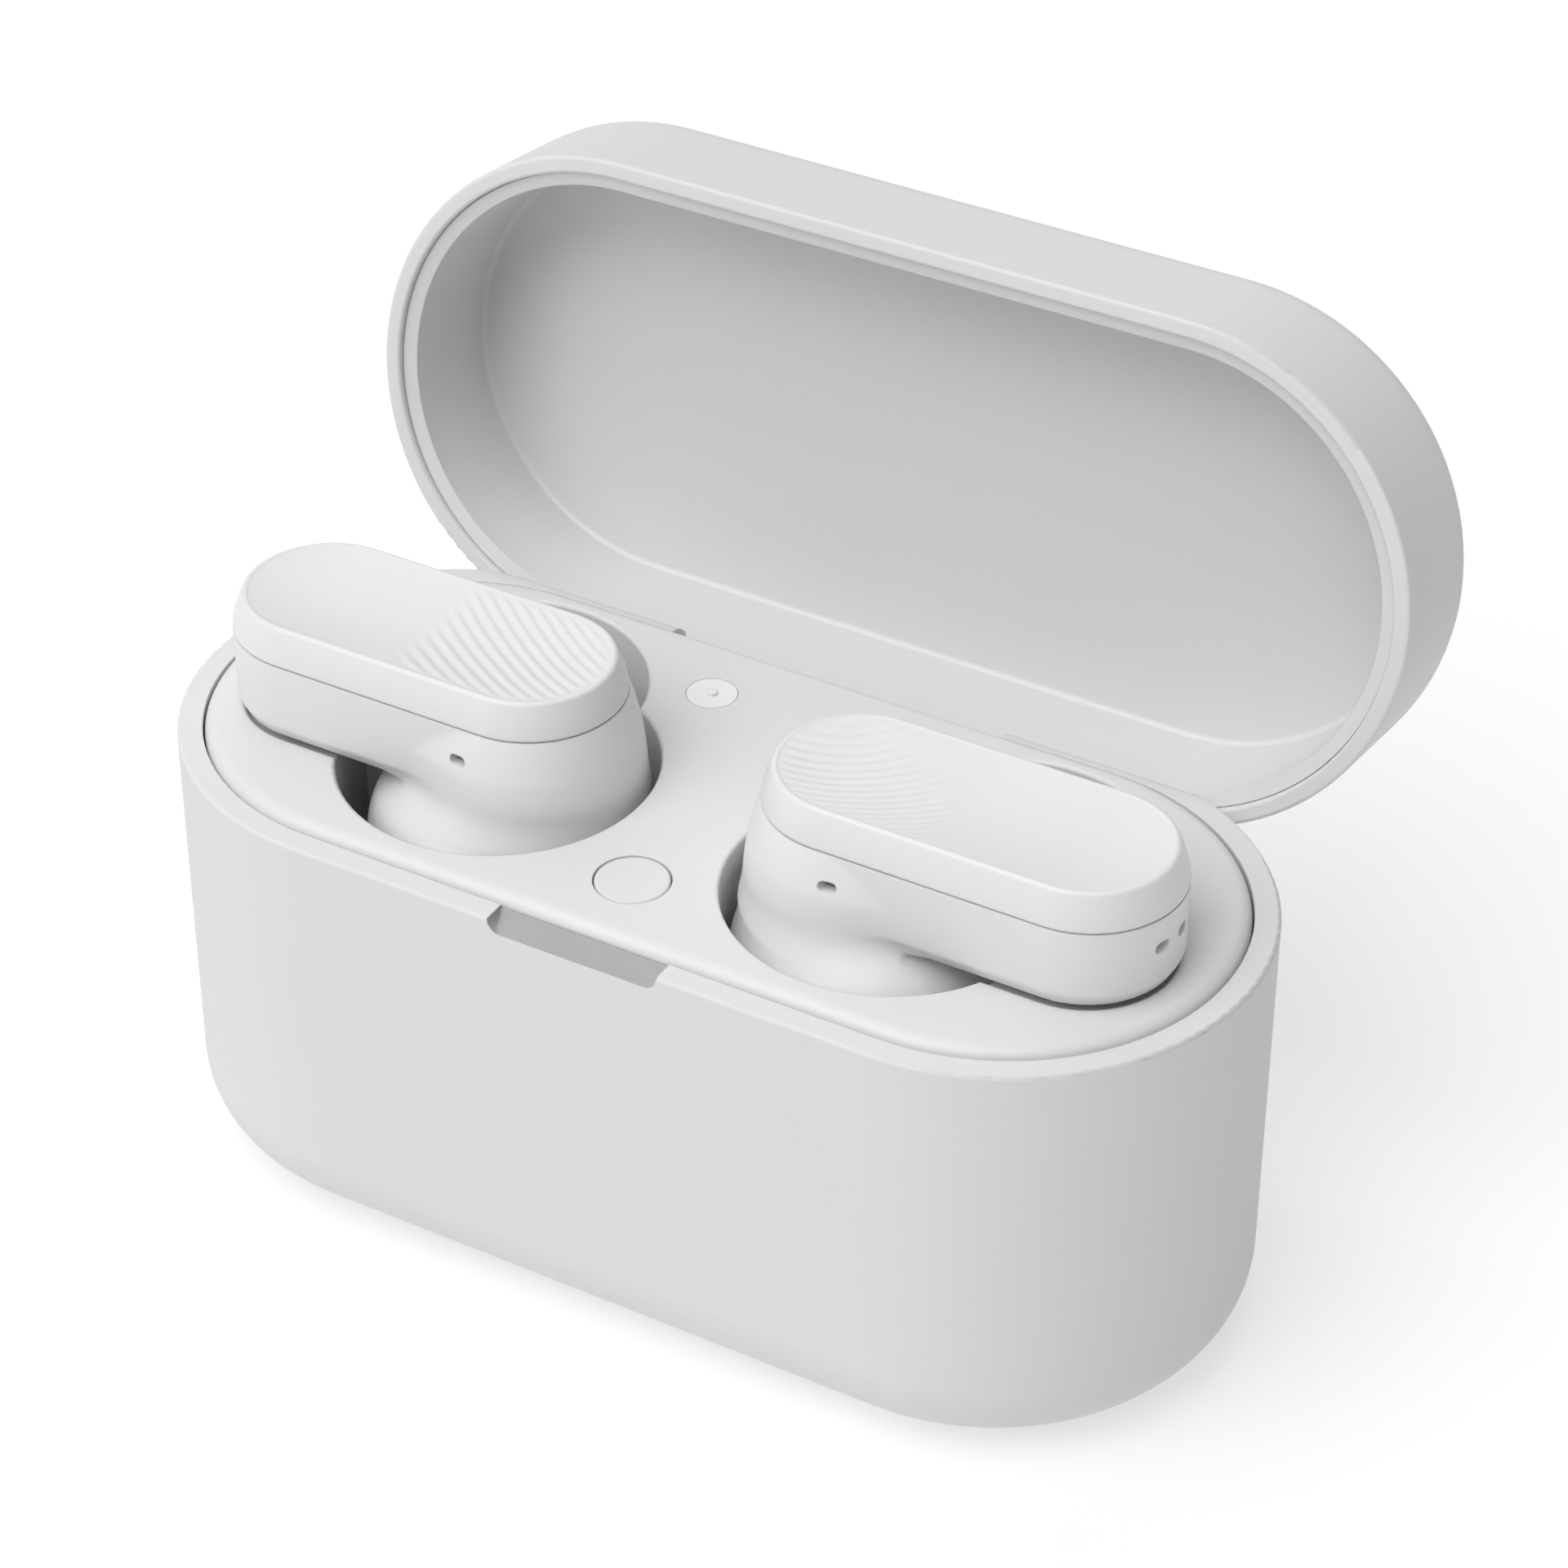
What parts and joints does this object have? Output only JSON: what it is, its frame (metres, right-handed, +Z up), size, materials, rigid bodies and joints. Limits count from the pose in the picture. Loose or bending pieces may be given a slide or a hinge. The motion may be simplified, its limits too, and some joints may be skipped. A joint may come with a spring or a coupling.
{
  "type": "wireless earbuds case",
  "caption": "Pill-shaped charging case with a hinged lid standing open and two lift-out wireless earbuds seated in round cups.",
  "frame": {"origin": "centre of the flat bottom face of the case", "axes": "+X to the right earbud along the case, -Y to the front with the finger notch, +Z up"},
  "size_m": [0.062, 0.0418, 0.0501],
  "materials": {
    "shell_white": "fine matte texture",
    "deck_white": "smooth satin",
    "mark_pale": "glossy",
    "battery_foil": "satin pouch foil",
    "foam_black": "matte foam tape",
    "wire_black": "satin insulation",
    "board_green": "solder-masked laminate",
    "bright_steel": "bright",
    "plastic_black": "satin",
    "flex_amber": "polyimide film",
    "gold_plate": "plated",
    "magnet_nickel": "nickel plated",
    "cover_white": "satin",
    "housing_white": "satin",
    "driver_black": "satin",
    "mesh_grey": "woven",
    "tip_silicone": "soft matte"
  },
  "bodies": {
    "case": {"base_shell": "shell_white", "charging_deck": "deck_white", "left_side_mark": "mark_pale", "right_side_mark": "mark_pale", "case_battery": "battery_foil", "battery_pad": "foam_black", "battery_leads": "wire_black", "main_board": "board_green", "board_screws": "bright_steel", "usb_shell": "bright_steel", "usb_tongue": "plastic_black", "button_board": "board_green", "button_screws": "bright_steel", "switch_body": "plastic_black", "link_flex": "flex_amber", "left_pin_board": "board_green", "right_pin_board": "board_green", "left_pin_barrels": "gold_plate", "right_pin_barrels": "gold_plate", "left_case_magnet": "magnet_nickel", "right_case_magnet": "magnet_nickel", "base_latch_magnet": "magnet_nickel", "hinge_pin": "bright_steel"},
    "lid": {"lid_shell": "shell_white", "lid_liner": "deck_white", "hinge_tongue": "shell_white", "lid_latch_magnet": "magnet_nickel"},
    "left_earbud": {"left_touch_cover": "cover_white", "left_housing": "housing_white", "left_circuit": "board_green", "left_cell": "bright_steel", "left_driver": "driver_black", "left_contacts": "gold_plate", "left_bud_magnet": "magnet_nickel", "left_mic_mesh": "mesh_grey", "left_speaker_mesh": "mesh_grey", "left_ear_tip": "tip_silicone"},
    "right_earbud": {"right_touch_cover": "cover_white", "right_housing": "housing_white", "right_circuit": "board_green", "right_cell": "bright_steel", "right_driver": "driver_black", "right_contacts": "gold_plate", "right_bud_magnet": "magnet_nickel", "right_mic_mesh": "mesh_grey", "right_speaker_mesh": "mesh_grey", "right_ear_tip": "tip_silicone"},
    "button": {"pairing_button": "deck_white"},
    "switch_stem": {"switch_plunger": "plastic_black"},
    "left_inner_pin": {"left_pin_inner": "gold_plate"},
    "left_outer_pin": {"left_pin_outer": "gold_plate"},
    "right_inner_pin": {"right_pin_inner": "gold_plate"},
    "right_outer_pin": {"right_pin_outer": "gold_plate"}
  },
  "joints": [
    {"name": "lid_hinge", "type": "hinge", "parent": "case", "child": "lid", "pos_m": [0, 0.01263, 0.02392], "axis": [-1, 0, 0], "range_deg": [-98.9, 0]},
    {"name": "left_earbud_lift", "type": "slide", "parent": "case", "child": "left_earbud", "axis": [0, 0, 1], "range_m": [0, 0.022]},
    {"name": "right_earbud_lift", "type": "slide", "parent": "case", "child": "right_earbud", "axis": [0, 0, 1], "range_m": [0, 0.022]},
    {"name": "button_press", "type": "slide", "parent": "case", "child": "button", "axis": [0, 0, -1], "range_m": [0, 0.0003], "stiffness_N_per_m": 1500, "springref_m": -0.0003},
    {"name": "switch_stem_press", "type": "slide", "parent": "case", "child": "switch_stem", "axis": [0, 0, -1], "range_m": [0, 0.0003]},
    {"name": "left_inner_pin_press", "type": "slide", "parent": "case", "child": "left_inner_pin", "axis": [0, 0, 1], "range_m": [-0.0005, 0], "stiffness_N_per_m": 400, "springref_m": 0.0005},
    {"name": "left_outer_pin_press", "type": "slide", "parent": "case", "child": "left_outer_pin", "axis": [0, 0, 1], "range_m": [-0.0005, 0], "stiffness_N_per_m": 400, "springref_m": 0.0005},
    {"name": "right_inner_pin_press", "type": "slide", "parent": "case", "child": "right_inner_pin", "axis": [0, 0, 1], "range_m": [-0.0005, 0], "stiffness_N_per_m": 400, "springref_m": 0.0005},
    {"name": "right_outer_pin_press", "type": "slide", "parent": "case", "child": "right_outer_pin", "axis": [0, 0, 1], "range_m": [-0.0005, 0], "stiffness_N_per_m": 400, "springref_m": 0.0005}
  ],
  "couplings": [
    {"joint": "switch_stem_press", "follows": "button_press", "ratio": 1}
  ]
}
